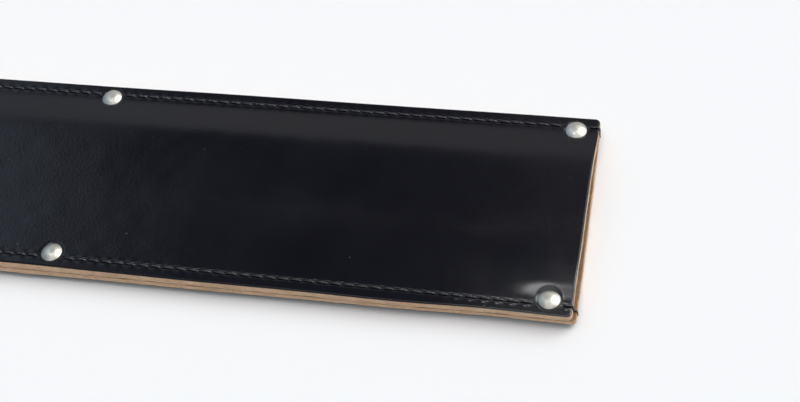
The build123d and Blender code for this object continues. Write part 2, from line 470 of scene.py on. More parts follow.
@dataclass(frozen=True)
class WaxedThread(Finish):
    """Black waxed sewing thread."""

    name: str = "black_waxed_thread"
    black: Colour = (0.006, 0.006, 0.009)
    grey: Colour = (0.022, 0.022, 0.028)
    roughness: float = 0.27
    sheen: float = 0.9
    fibre: float = 0.00018
    fibre_stretch: Point = (0.5, 1.0, 1.0)
    wax: float = 0.003
    wax_span: Span = (0.35, 0.7)
    relief: float = 0.00005
    strength: float = 0.5

    def sockets(self, bench: Bench) -> dict:
        """Fibres under patches of wax.

        Args:
            bench: the material's bench.

        Returns:
            Values and signals by the socket's name.
        """
        place = bench.place()
        fibre = bench.noise(bench.stretched(place, self.fibre_stretch), self.fibre, 3.0)
        wax = bench.noise(place, self.wax, 2.0)
        return {
            "Base Color": bench.mix(wax.ease(*self.wax_span), self.black, self.grey),
            "Roughness": self.roughness + (fibre - 0.5) * 0.2,
            "Normal": bench.bump(fibre, self.relief, self.strength),
            "Specular IOR Level": self.sheen,
        }


@dataclass(frozen=True)
class NickelPlate(Finish):
    """Nickel plated cap with fine rubbing marks."""

    name: str = "nickel_plate"
    bright: Colour = (0.69, 0.67, 0.60)
    dull: Colour = (0.55, 0.535, 0.47)
    roughness: float = 0.31
    rub: float = 0.0004
    rub_stretch: Point = (0.2, 1.4, 1.0)
    haze: float = 0.0016
    dull_span: Span = (0.45, 0.8)
    relief: float = 0.00003
    strength: float = 0.35

    def sockets(self, bench: Bench) -> dict:
        """Rubbing marks over a light haze.

        Args:
            bench: the material's bench.

        Returns:
            Values and signals by the socket's name.
        """
        place = bench.place()
        rub = bench.noise(bench.stretched(place, self.rub_stretch), self.rub, 4.0, 0.6)
        haze = bench.noise(place, self.haze, 3.0)
        return {
            "Base Color": bench.mix(haze.ease(*self.dull_span), self.bright, self.dull),
            "Metallic": 1.0,
            "Roughness": self.roughness + haze * 0.10 + rub * 0.06,
            "Normal": bench.bump(rub * 0.5 + haze * 0.5, self.relief, self.strength),
        }


@dataclass(frozen=True)
class FloorPaper(Finish):
    """Matt white paper under the guard."""

    name: str = "white_paper"
    white: Colour = (0.945, 0.945, 0.945)
    roughness: float = 0.9
    sheen: float = 0.1
    tooth: float = 0.004

    def sockets(self, bench: Bench) -> dict:
        """Even white with a faint tooth, made on the bench."""
        tooth = bench.noise(bench.place(), self.tooth, 3.0)
        return {
            "Base Color": (*self.white, 1.0),
            "Roughness": self.roughness + (tooth - 0.5) * 0.05,
            "Specular IOR Level": self.sheen,
        }


# Mesh making

def ease(value: Array, low: Array | float, high: Array | float) -> Array:
    """Smooth step from 0 at low to 1 at high."""
    share = np.clip((value - low) / (high - low), 0, 1)
    return share * share * (3 - 2 * share)


def bell(offset: Array, width: float) -> Array:
    """Bell curve, 1 at no offset."""
    return np.exp(-((offset / width) ** 2))


def wander(x: Array, knots: Knots) -> Array:
    """Smooth line through knots.

    Args:
        x: positions at which it is wanted.
        knots: rising positions with the line's value at each.

    Returns:
        The line's value at each position.
    """
    places, values = (np.array(column) for column in zip(*knots))
    index = np.clip(np.searchsorted(places, x) - 1, 0, len(places) - 2)
    share = ease(x, places[index], places[index + 1])
    return values[index] * (1 - share) + values[index + 1] * share


def graded(marks: list[Span], multiple: int) -> Array:
    """Positions whose spacing follows the marks.

    Args:
        marks: rising positions with the spacing wanted at each.
        multiple: the number of gaps is a multiple of this.

    Returns:
        The positions, the first and last mark among them.
    """
    places, gaps = (np.array(column) for column in zip(*marks))
    fine = np.linspace(places[0], places[-1], 4001)
    density = 1 / np.interp(fine, places, gaps)
    total = np.concatenate([[0], np.cumsum((density[1:] + density[:-1]) / 2 * np.diff(fine))])
    count = multiple * max(1, round(total[-1] / multiple))
    return np.interp(np.linspace(0, total[-1], count + 1), total, fine)


class Waviness:
    """Smooth random field on a plane, the same on each run."""

    side: int = 64

    def __init__(self, seed: int, cell_u: float, cell_v: float) -> None:
        """Field with the given seed and the sizes of its waves in millimetres."""
        self.table = np.random.default_rng(seed).uniform(-1, 1, (self.side, self.side))
        self.cell = (cell_u, cell_v)

    def at(self, u: Array, v: Array) -> Array:
        """The field at some points.

        Args:
            u: their positions along the first axis.
            v: their positions along the second one.

        Returns:
            Values between -1 and 1.
        """
        a, b = u / self.cell[0], v / self.cell[1]
        i, j = np.floor(a).astype(int), np.floor(b).astype(int)
        s, t = ease(a - i, 0, 1), ease(b - j, 0, 1)
        corner = [[self.table[(i + p) % self.side, (j + q) % self.side] for q in (0, 1)] for p in (0, 1)]
        near = corner[0][0] * (1 - s) + corner[1][0] * s
        far = corner[0][1] * (1 - s) + corner[1][1] * s
        return near * (1 - t) + far * t


class Draft:
    """Collects points and faces of one piece, in millimetres."""

    def __init__(self) -> None:
        """Start with nothing."""
        self.points: list[Array] = []
        self.faces: list[tuple[int, ...]] = []
        self.kinds: list[int] = []
        self.depths: list[Array] = []
        self.count = 0

    def add_points(self, points: Array, depth: float = 0.0) -> Array:
        """Add points.

        Args:
            points: rows of x, y and z in any grid.
            depth: how deep in the leather they lie, 0 at the grain side and 1 at the inner side.

        Returns:
            Their numbers, in the same grid.
        """
        rows = points.reshape(-1, 3)
        self.points.append(rows)
        self.depths.append(np.full(len(rows), depth))
        first = self.count
        self.count += len(rows)
        return np.arange(first, self.count).reshape(points.shape[:-1])

    def add_faces(self, faces: Array | list, kind: int = 0) -> None:
        """Add faces with one finish.

        Args:
            faces: the points' numbers, face by face.
            kind: the finish, by its place among the piece's materials.
        """
        rows = faces.reshape(-1, faces.shape[-1]).tolist() if isinstance(faces, np.ndarray) else faces
        self.faces.extend(tuple(row) for row in rows)
        self.kinds.extend([int(kind)] * len(rows))

    def add_grid(self, numbers: Array, kind: int = 0) -> None:
        """Quads between neighbouring rows and columns of points."""
        quads = np.stack([numbers[:-1, :-1], numbers[1:, :-1], numbers[1:, 1:], numbers[:-1, 1:]], axis=-1)
        self.add_faces(quads, kind)

    def add_loop(self, first: Array, second: Array, kind: int = 0) -> None:
        """Quads between two closed loops of points."""
        quads = np.stack([first, second, np.roll(second, -1), np.roll(first, -1)], axis=-1)
        self.add_faces(quads, kind)

    def piece(self, name: str, finishes: list[Finish], slot: str, nodes: tuple[str, ...]) -> None:
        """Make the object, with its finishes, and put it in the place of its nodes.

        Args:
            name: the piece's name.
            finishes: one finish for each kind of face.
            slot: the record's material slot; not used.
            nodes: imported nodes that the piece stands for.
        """
        mesh = bpy.data.meshes.new(name)
        mesh.from_pydata((np.concatenate(self.points) * MM).tolist(), [], self.faces)
        mesh.polygons.foreach_set("material_index", self.kinds)
        mesh.polygons.foreach_set("use_smooth", [True] * len(self.faces))
        depth = mesh.attributes.new("depth", "FLOAT", "POINT")
        depth.data.foreach_set("value", np.concatenate(self.depths).astype(np.float32))
        skin = bmesh.new()
        skin.from_mesh(mesh)
        bmesh.ops.recalc_face_normals(skin, faces=skin.faces)
        skin.to_mesh(mesh)
        skin.free()
        for finish in finishes:
            mesh.materials.append(finish.material())
        made = bpy.data.objects.new(name, mesh)
        bpy.context.scene.collection.objects.link(made)
        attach(made, BODY)
        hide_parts(*nodes)
        LOG.info("%s: %d faces, stands for %s", name, len(self.faces), ", ".join(nodes))


# Leather

@dataclass(frozen=True)
class Furrow:
    """How a seam draws the leather in: a groove, a wide dip and a low ridge on each side.

    Each has a width, a depth and a beat, by which the depth grows at a needle hole and
    shrinks between two; the ridge has a distance from the seam too. The furrow ends within
    tip_run past the last hole and loses mouth_less of its depth past the first one.
    """

    groove_w: float = 0.42
    groove: float = 0.30
    groove_beat: float = 0.18
    dip_w: float = 1.3
    dip: float = 0.035
    dip_beat: float = 0.035
    ridge_off: float = 0.95
    ridge_w: float = 0.4
    ridge: float = 0.03
    ridge_beat: float = 0.02
    tip_run: float = 1.0
    mouth_span: Span = (1.5, 4.5)
    mouth_less: float = 0.2

    def depth(self, across: Array, beat: Array) -> Array:
        """Depth beside a seam.

        Args:
            across: distance from the seam's line.
            beat: 1 at a needle hole and -1 between two.

        Returns:
            Depth, negative where the leather swells.
        """
        groove = bell(across, self.groove_w) * (self.groove + self.groove_beat * beat)
        dip = bell(across, self.dip_w) * (self.dip + self.dip_beat * beat)
        ridge = bell(np.abs(across) - self.ridge_off, self.ridge_w) * (self.ridge - self.ridge_beat * beat)
        return groove + dip - ridge


@dataclass
class Panel:
    """One leather panel: grain side, rounded rim, layered cut edge and napped inner side."""

    name: str
    sizes: GuardSizes
    facing: Facing
    z_face: float
    z_inner: float
    rise: float
    overhang: float
    seed: int
    face_wander: Knots
    inner_wander: Knots
    furrow: Furrow = Furrow()
    # The slopes' round turns, and how softly the front's two slopes meet
    foot_turn: float = 3.0
    crest_turn: float = 5.0
    long_turn: float = 4.0
    crest_blend: float = 0.6
    blend_run: float = 8.0
    # Swelling at the mouth and swellings beside the last stitches
    swell: float = 1.4
    swell_up: Span = (-0.9, 6.3)
    swell_down: Span = (7.0, 24.0)
    swell_along: Span = (132.0, 153.0)
    knuckle: float = 0.19
    knuckle_off: float = 1.1
    knuckle_w: float = 0.36
    knuckle_along: Span = (112.0, 136.0)
    # Hollows under the caps, in which the seams' furrows fade out, and the tip seam's ends
    dish_span: Span = (3.05, 3.95)
    fade_span: Span = (3.4, 4.2)
    tip_fade: Span = (4.0, 3.0)
    # Notch where a thread crosses the mouth's edge
    notch: float = 0.42
    notch_w: float = 0.55
    notch_run: float = 1.2
    # Rim and cut edge: angles round the rim, shares of the thickness below it
    rim_round: float = 0.45
    rim_less: float = 0.35
    rim_less_span: Span = (1.0, 0.3)
    rim_angles: tuple[float, ...] = (22.5, 45.0, 67.5, 90.0)
    cut_shares: tuple[float, ...] = (0.24, 0.34, 0.46, 0.58, 0.70, 0.82, 0.90)
    inner_round: float = 0.22
    inner_turn: Span = (0.35, 0.965)
    bulge: float = 0.07
    fibre: float = 0.075
    nick: float = 0.10
    # Slight waves of the edges and the sheet
    edge_wave: float = 0.16
    edge_run: float = 6.0
    sheet_wave: float = 0.16
    sheet_span: Span = (2.0, 20.0)
    fine_wave: float = 0.025
    # Spacing of the mesh's rows from the middle line, and how much coarser the inner side is
    row_marks: Knots = ((0.0, 1.3), (18.0, 0.9), (28.0, 0.55), (31.4, 0.26), (33.4, 0.22), (35.0, 0.3))
    coarse: int = 4

    def __post_init__(self) -> None:
        """Prepare the random fields."""
        self.long_field = Waviness(11, 46.0, 500.0)
        self.soft_field = Waviness(self.seed, 41.0, 23.0)
        self.fine_field = Waviness(self.seed + 1, 5.0, 4.0)
        self.fibres = Waviness(self.seed + 2, 0.9, 0.22)
        self.nicks = Waviness(self.seed + 3, 3.1, 0.8)

    def inside(self, x: Array, y: Array) -> Array:
        """Distance inward from the sewn border's inner line.

        Args:
            x: positions along the guard.
            y: positions across it.

        Returns:
            Distances, negative on the border.
        """
        s = self.sizes
        radius = s.shoulder_corner_r
        past_x = s.x_tip + s.flange_w + radius - x
        past_y = np.abs(y) - (s.y_flange - radius)
        corner = np.hypot(np.maximum(past_x, 0), np.maximum(past_y, 0))
        return radius - corner - np.minimum(np.maximum(past_x, past_y), 0)

    def pressed(self, x: Array, y: Array, outer: bool) -> Array:
        """Shape into which the panel is pressed.

        Args:
            x: positions along the guard.
            y: positions across it.
            outer: whether the grain side is meant, and not the inner side.

        Returns:
            Heights above that side of the border.
        """
        s = self.sizes
        inside = self.inside(x, y)
        if self.facing is Facing.DOWN:
            return self.curved(inside, s.shoulder_w, outer)
        extra, half = self.long_turn, s.long_slope_w / 2
        steep = self.ramp(inside, s.shoulder_w + extra, self.foot_turn, self.crest_turn + extra)
        gentle = self.ramp(y + s.y_flange, s.long_slope_w, half, half)
        blend = self.crest_blend * ease(inside, 0.0, self.blend_run) + 0.001
        share = np.clip(0.5 + 0.5 * (gentle - steep) / blend, 0, 1)
        return gentle * (1 - share) + steep * share - blend * share * (1 - share)

    def ramp(self, distance: Array, run: float, turn: float, top_turn: float) -> Array:
        """Straight slope with a round turn at each end.

        Args:
            distance: distances from the slope's foot.
            run: the slope's whole length.
            turn: length of the turn at the foot.
            top_turn: length of the turn at the top.

        Returns:
            Heights above the foot.
        """
        lean = self.rise / (run - turn / 2 - top_turn / 2)
        d = np.clip(distance, 0, run)
        low, high = lean * d**2 / (2 * turn), self.rise - lean * (run - d) ** 2 / (2 * top_turn)
        return np.where(d < turn, low, np.where(d > run - top_turn, high, lean * (d - turn / 2)))

    def curved(self, distance: Array, run: float, outer: bool) -> Array:
        """One face of a slope of two arcs whose sheet keeps its thickness.

        Args:
            distance: distances from the slope's start.
            run: the slope's length.
            outer: whether the grain side is meant, and not the inner side.

        Returns:
            Heights above the start.
        """
        rise = self.rise
        thick = abs(self.z_face - self.z_inner)
        mean_r = (run**2 + rise**2) / (4 * abs(rise))
        slope = np.copysign(np.arcsin(run / 2 / mean_r), rise)
        side = self.facing.value if outer else -self.facing.value
        x_mid = run / 2 - side * thick / 2 * sin(slope)
        z_mid = rise / 2 - side * thick / 2 * (1 - cos(slope))
        first_r = (x_mid**2 + z_mid**2) / (2 * z_mid)
        rest_x, rest_z = run - x_mid, rise - z_mid
        second_r = (rest_x**2 + rest_z**2) / (2 * rest_z)
        d = np.clip(distance, 0, run)
        low = first_r - np.sign(first_r) * np.sqrt(np.maximum(first_r**2 - d**2, 0))
        high = rise - second_r + np.sign(second_r) * np.sqrt(np.maximum(second_r**2 - (run - d) ** 2, 0))
        return np.where(d < x_mid, low, high)

    def swelling(self, x: Array, y: Array) -> Array:
        """Share of the swelling beside the border at the mouth, on the cutting-edge side."""
        up = y + self.sizes.y_flange
        return ease(up, *self.swell_up) * (1 - ease(up, *self.swell_down)) * ease(x, *self.swell_along)

    def seam_relief(self, along: Array, across: Array, holes: Array) -> Array:
        """Depth to which one seam pulls the leather in.

        Args:
            along: positions along the seam.
            across: distances from the seam's line.
            holes: needle holes, falling.

        Returns:
            Depths, negative where the leather swells.
        """
        pitch = (holes[0] - holes[-1]) / (len(holes) - 1)
        beat = np.cos(2 * pi * (holes[0] - along) / pitch)
        furrow = self.furrow
        start, end = (holes[0] + off for off in furrow.mouth_span)
        last = ease(along, holes[-1] - furrow.tip_run, holes[-1])
        return furrow.depth(across, beat) * (last * (1 - ease(along, start, end) * furrow.mouth_less))

    def relief(self, x: Array, y: Array) -> Array:
        """Depth of the seams and rivets pressed into the grain side.

        Args:
            x: positions along the guard.
            y: positions across it.

        Returns:
            Depths, negative where the leather swells.
        """
        s = self.sizes
        long_holes, tip_holes = s.long_holes(), s.tip_holes()
        depth = self.seam_relief(x, y - s.y_seam, long_holes) + self.seam_relief(x, y + s.y_seam, long_holes)
        across = x - (s.x_tip + s.seam_inset)
        start, end = (s.y_seam - off for off in self.tip_fade)
        depth += self.seam_relief(y, across, tip_holes) * (1 - ease(np.abs(y), start, end))
        stitch = 0.5 - 0.5 * np.cos(2 * pi * (long_holes[0] - x) / s.stitch_pitch)
        row = bell(y + s.y_seam + self.knuckle_off, self.knuckle_w)
        depth -= self.knuckle * row * ease(x, *self.knuckle_along) * stitch**2
        for spot_x, spot_y in s.rivets().values():
            reach = np.hypot(x - spot_x, y - spot_y)
            dish = s.cap_press * (1 - ease(reach, *self.dish_span))
            depth = depth * ease(reach, *self.fade_span) + dish
        return depth

    def place(self, u: Array, v: Array, inset: float, face: bool = True) -> tuple[Array, Array]:
        """Bend a rectangle's grid into the panel's outline.

        Args:
            u: position along the guard on a plain rectangle.
            v: position across it.
            inset: distance of that rectangle inside the outline.
            face: whether the outline is that of the grain side.

        Returns:
            Positions with round corners, the slanted mouth edge and the edges' slight waves.
        """
        s = self.sizes
        radius = s.corner_r - inset
        low, high, half = s.x_tip + inset, s.x_mouth - inset, s.half_w - inset
        across = np.clip((np.abs(v) - (half - radius)) / radius, 0, 1)
        right = np.clip((u - (high - radius)) / radius, 0, 1)
        left = np.clip((low + radius - u) / radius, 0, 1)
        turned = 1 - np.sqrt(1 - across**2 / 2)
        x = u - radius * right * turned + radius * left * turned
        along = np.maximum(right, left)
        y = v - np.sign(v) * radius * across * (1 - np.sqrt(1 - along**2 / 2))
        x = x + (x - s.x_tip) / (s.x_mouth - s.x_tip) * self.overhang * (s.half_w - y) / (2 * s.half_w)
        upper = ease(y, s.y_flange - self.edge_run, s.half_w)
        lower = ease(-y, s.y_flange - self.edge_run, s.half_w)
        wave = upper * self.edge_wave * self.long_field.at(x, np.zeros_like(x))
        y = y + wave + lower * wander(x, self.face_wander if face else self.inner_wander)
        notch = bell(np.abs(y) - s.y_seam, self.notch_w) * ease(x, s.x_mouth - self.notch_run, s.x_mouth)
        return x - self.notch * notch, y

    def heights(self, x: Array, y: Array, outer: bool, detail: bool = True) -> Array:
        """Height of one side of the panel.

        Args:
            x: positions along the guard.
            y: positions across it.
            outer: whether the grain side is meant, and not the inner side.
            detail: whether the grain side has the seams' and rivets' relief.

        Returns:
            Heights in the frame.
        """
        z = (self.z_face if outer else self.z_inner) + self.pressed(x, y, outer)
        if self.facing is Facing.UP:
            z = z + ease(self.inside(x, y), *self.sheet_span) * self.sheet_wave * self.soft_field.at(x, y)
            z = z + self.swell * self.swelling(x, y)
        if outer and detail:
            z = z - self.facing.value * self.relief(x, y)
            fine = self.fine_field.at(x, y)
            z = z + self.fine_wave * (fine + 1 if self.facing is Facing.DOWN else fine)
        return z

    def build(self, nodes: tuple[str, ...]) -> None:
        """Make the panel's mesh and dress it.

        Args:
            nodes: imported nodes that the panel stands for.
        """
        s = self.sizes
        inset = self.rim_round
        column_marks = [
            (s.x_tip + inset, 0.22),
            (s.x_tip + 2.4, 0.30),
            (s.x_tip + s.seam_inset, 0.22),
            (s.x_tip + 6.0, 0.45),
            (s.x_mouth - 6.0, 0.45),
            (s.x_mouth - inset, 0.22),
        ]
        side = graded([*self.row_marks, (s.half_w - inset, 0.2)], self.coarse)
        rows = np.concatenate([-side[:0:-1], side])
        u, v = np.meshgrid(graded(column_marks, self.coarse), rows, indexing="ij")
        x, y = self.place(u, v, inset)
        draft = Draft()
        face = draft.add_points(np.stack([x, y, self.heights(x, y, True)], axis=-1))
        draft.add_grid(face, Layer.GRAIN)
        ring = self._add_rim(draft, self._loop(face))
        step = self.coarse
        x, y = self.place(u[::step, ::step], v[::step, ::step], inset, False)
        inner = draft.add_points(np.stack([x, y, self.heights(x, y, False)], axis=-1), 1.0)
        draft.add_grid(inner, Layer.FLESH)
        self._join_coarse(draft, self._loop(inner), ring)
        draft.piece(self.name, [GrainLeather(), CutEdge(), FleshSide()], "black_leather", nodes)

    @staticmethod
    def _loop(numbers: Array) -> Array:
        """Outer points of a grid, once round."""
        return np.concatenate([numbers[:-1, 0], numbers[-1, :-1], numbers[:0:-1, -1], numbers[0, :0:-1]])

    def _rings(self, x: Array) -> list[tuple[float, Array | float, Layer]]:
        """Loops of points from the grain side down to the inner side.

        Args:
            x: positions of the rim's points along the guard.

        Returns:
            Each loop's distance outward, its share of the thickness and the layer above it.
        """
        thick = abs(self.z_face - self.z_inner)
        start, end = (self.sizes.x_mouth - off for off in self.rim_less_span)
        small = 1 - self.rim_less * ease(x, start, end)
        rings = []
        for angle in self.rim_angles:
            turn = radians(angle)
            share = self.rim_round * small * (1 - cos(turn)) / thick
            rings.append((-self.rim_round * (1 - sin(turn)), share, Layer.GRAIN))
        for share in self.cut_shares:
            rings.append((self.bulge * sin(pi * share), share, Layer.CUT))
        for turn, share in (self.inner_turn, (1.0, 1.0)):
            rings.append((-self.inner_round * turn, share, Layer.CUT))
        return rings

    def _add_rim(self, draft: Draft, rim: Array) -> Array:
        """Rounded rim and cut edge below the grain side's outer points.

        Args:
            draft: the panel so far.
            rim: numbers of the grain side's outer points.

        Returns:
            Numbers of the last loop, at the inner side.
        """
        flat = np.concatenate(draft.points)[rim]
        x, y = flat[:, 0], flat[:, 1]
        step_x, step_y = np.roll(x, -1) - np.roll(x, 1), np.roll(y, -1) - np.roll(y, 1)
        length = np.hypot(step_x, step_y)
        out_x, out_y = step_y / length, -step_x / length
        top = self.heights(x, y, True, False)
        lift = flat[:, 2] - top
        drop = self.heights(x, y, False, False) - top
        travel = np.concatenate([[0], np.cumsum(np.hypot(np.diff(x), np.diff(y)))])
        thick = abs(self.z_face - self.z_inner)
        lean = wander(x, self.face_wander) - wander(x, self.inner_wander)
        lean = np.where(y < 0, lean, 0.0) * np.maximum(-out_y, 0)
        last = rim
        for out, share, kind in self._rings(x):
            rough = 0.0
            if kind is Layer.CUT:
                level = np.full_like(travel, share * thick)
                rough = self.fibre * self.fibres.at(travel, level) + self.nick * self.nicks.at(travel, level)
            reach = self.rim_round + out + rough + lean * share
            z = top + drop * share + lift * np.clip(1 - share * 3, 0, 1)
            points = np.stack([x + out_x * reach, y + out_y * reach, z], axis=-1)
            ring = draft.add_points(points, float(np.mean(share)))
            draft.add_loop(last, ring, kind)
            last = ring
        return last

    def _join_coarse(self, draft: Draft, coarse: Array, fine: Array) -> None:
        """Faces between the inner side's outer points and the finer loop round them.

        Args:
            draft: the panel so far.
            coarse: numbers of the inner side's outer points.
            fine: numbers of the cut edge's last loop.
        """
        step = self.coarse
        count = len(coarse)
        faces = []
        for k in range(count):
            arc = [fine[(k * step + i) % len(fine)] for i in range(step + 1)]
            faces.append(tuple(int(n) for n in (coarse[(k + 1) % count], coarse[k], *arc)))
        draft.add_faces(faces, Layer.FLESH)


# Seams

@dataclass
class Thread:
    """One sewing thread: a twisted strand that rises from hole to hole on one face.

    A stitch follows its profile: share of its length, height over the face, share of the crown
    and share of the skew. Crown and skew differ a little from stitch to stitch.
    """

    name: str
    sizes: GuardSizes
    lie: Lie
    fixed: float
    z_face: float
    z_lock: float
    seed: int
    wraps: bool = False
    # Strand: its mean radius and its plies' swell as shares, and the way from one ply to the next
    round_count: int = 10
    body: float = 0.94
    plies: int = 3
    twist: float = 1.7
    ply: float = 0.10
    # Stitches, and the legs between them in the leather
    leg_lean: float = 0.9
    loop_h: float = 0.5
    crown: Span = (-0.06, 0.08)
    skew: float = 0.11
    skew_play: float = 0.06
    under_cap: float = 3.4
    bury: float = 0.85
    profile: tuple[tuple[float, float, float, float], ...] = (
        (0.0, -1.2, 0.0, -1.0),
        (0.02, -0.62, 0.0, -1.0),
        (0.12, -0.12, 0.0, -0.8),
        (0.28, 0.0, 0.7, -0.4),
        (0.5, 0.0, 1.0, 0.0),
        (0.72, 0.0, 0.7, 0.4),
        (0.88, -0.12, 0.0, 0.8),
        (0.98, -0.62, 0.0, 1.0),
        (1.0, -1.2, 0.0, 1.0),
    )

    def stitches(self, holes: Array) -> list[list[float]]:
        """Line of the stitches.

        Args:
            holes: needle holes, falling.

        Returns:
            Corner points (along, sideways, height) from the first hole to the last.
        """
        draw = np.random.default_rng(self.seed)
        up = np.copysign(1.0, self.z_face - self.z_lock)
        half = self.sizes.leg_gap / 2
        loop = self.z_lock + up * self.loop_h
        points = []
        for hole, after in zip(holes, holes[1:]):
            start, end = hole - half, after + half
            crown = draw.uniform(*self.crown)
            skew = self.skew + draw.uniform(-self.skew_play, self.skew_play)
            sunk = self.buried(start, end)
            for share, height, arch, side in self.profile:
                z = self.z_face + up * (height + crown * arch - sunk)
                points.append([start + (end - start) * share, side * skew, z])
            points.append([after + half * self.leg_lean, skew, loop])
            points.append([after, 0.0, self.z_lock])
            points.append([after - half * self.leg_lean, -skew, loop])
        return points[:-3]

    def buried(self, start: float, end: float) -> float:
        """Extra depth of a stitch that passes below a rivet's cap.

        Args:
            start: where the stitch starts.
            end: where it ends.

        Returns:
            The depth, 0 where no cap is near.
        """
        for x, y in self.sizes.rivets().values():
            here, off = (x, abs(y - self.fixed)) if self.lie is Lie.ALONG else (y, abs(x - self.fixed))
            near = min(start, end) < here + self.under_cap and max(start, end) > here - self.under_cap
            if off < self.under_cap and near:
                return self.bury
        return 0.0

    def mouth_end(self) -> list[list[float]]:
        """The thread's end that comes round the mouth edges of both panels.

        Returns:
            Corner points (along, sideways, height) down the first hole, round the back panel,
            up over the two edges, along the front panel and down the hole again.
        """
        s = self.sizes
        front = s.x_mouth + s.thread_r * 0.35
        back = front + s.overhang_at(self.fixed) - 0.15
        hole = s.x_mouth - s.first_hole + s.leg_gap / 2
        points = [
            [hole, 0, s.z_seam - 0.6],
            [hole, 0, s.z_back + 0.5],
            [hole + 0.25, 0, s.z_back + 0.02],
            [hole + 1.2, 0, s.z_back - 0.12],
            [back - 0.9, 0.05, s.z_back - 0.08],
            [back - 0.1, 0.05, s.z_back + 0.12],
            [back + 0.02, 0.08, s.z_back + 0.8],
            [back, 0.08, s.z_seam - 0.2],
        ]
        if back - front > s.thread_r:
            points += [[back - 0.25, 0.08, s.z_seam + 0.3], [front + 0.12, 0.06, s.z_seam + 0.6]]
        points += [
            [front, 0.05, s.z_seam + 1.2],
            [front, 0.0, s.z_front - 0.55],
            [front - 0.22, 0.0, s.z_front + 0.02],
            [front - 0.75, 0.0, s.z_front + 0.16],
            [(front + hole) / 2 + 0.2, 0.0, s.z_front + 0.14],
            [hole + 0.55, 0.0, s.z_front + 0.02],
            [hole + 0.12, 0.0, s.z_front - 0.5],
            [hole, 0.0, s.z_front - 1.2],
            [hole - 0.1, 0.0, self.z_lock + 0.4],
            [hole - s.leg_gap / 2, 0.0, self.z_lock],
        ]
        return points

    @staticmethod
    def smooth(points: Array, cuts: int) -> Array:
        """Rounded line through points.

        Args:
            points: corner points.
            cuts: steps between neighbours.

        Returns:
            The line's points.
        """
        padded = np.concatenate([points[:1] * 2 - points[1:2], points, points[-1:] * 2 - points[-2:-1]])
        a, b, c, d = padded[:-3], padded[1:-2], padded[2:-1], padded[3:]
        square, cube = 2 * a - 5 * b + 4 * c - d, 3 * b - a - 3 * c + d
        steps = [0.5 * (2 * b + (c - a) * t + square * t**2 + cube * t**3) for t in np.arange(cuts) / cuts]
        line = np.stack(steps, axis=1).reshape(-1, points.shape[1])
        return np.concatenate([line, points[-1:]])

    def build(self, holes: Array, nodes: tuple[str, ...]) -> None:
        """Make the strand's mesh and dress it.

        Args:
            holes: needle holes, falling.
            nodes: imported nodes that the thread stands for.
        """
        corners = self.mouth_end() if self.wraps else []
        line = self.smooth(np.array(corners + self.stitches(holes), float), 2)
        run = np.gradient(line, axis=0)
        run /= np.linalg.norm(run, axis=1, keepdims=True)
        across = np.cross(run, np.array([0.0, 1.0, 0.0]))
        across /= np.linalg.norm(across, axis=1, keepdims=True)
        third = np.cross(run, across)
        travel = np.concatenate([[0], np.cumsum(np.linalg.norm(np.diff(line, axis=0), axis=1))])
        angle = np.linspace(0, 2 * pi, self.round_count, endpoint=False)
        turned = angle[None, :] - 2 * pi * travel[:, None] / self.twist / self.plies
        lobes = self.sizes.thread_r * self.body * (1 + self.ply * np.cos(self.plies * turned))
        tube = (
            line[:, None, :]
            + np.array([0.0, self.fixed, 0.0])
            + across[:, None, :] * (lobes * np.cos(angle))[..., None]
            + third[:, None, :] * (lobes * np.sin(angle))[..., None]
        )
        if self.lie is Lie.ACROSS:
            tube = tube[..., [1, 0, 2]]
        draft = Draft()
        numbers = draft.add_points(tube)
        for first, second in zip(numbers, numbers[1:]):
            draft.add_loop(first, second)
        draft.add_faces([tuple(int(n) for n in numbers[0]), tuple(int(n) for n in numbers[-1])])
        draft.piece(self.name, [WaxedThread()], "thread", nodes)


# Rivets

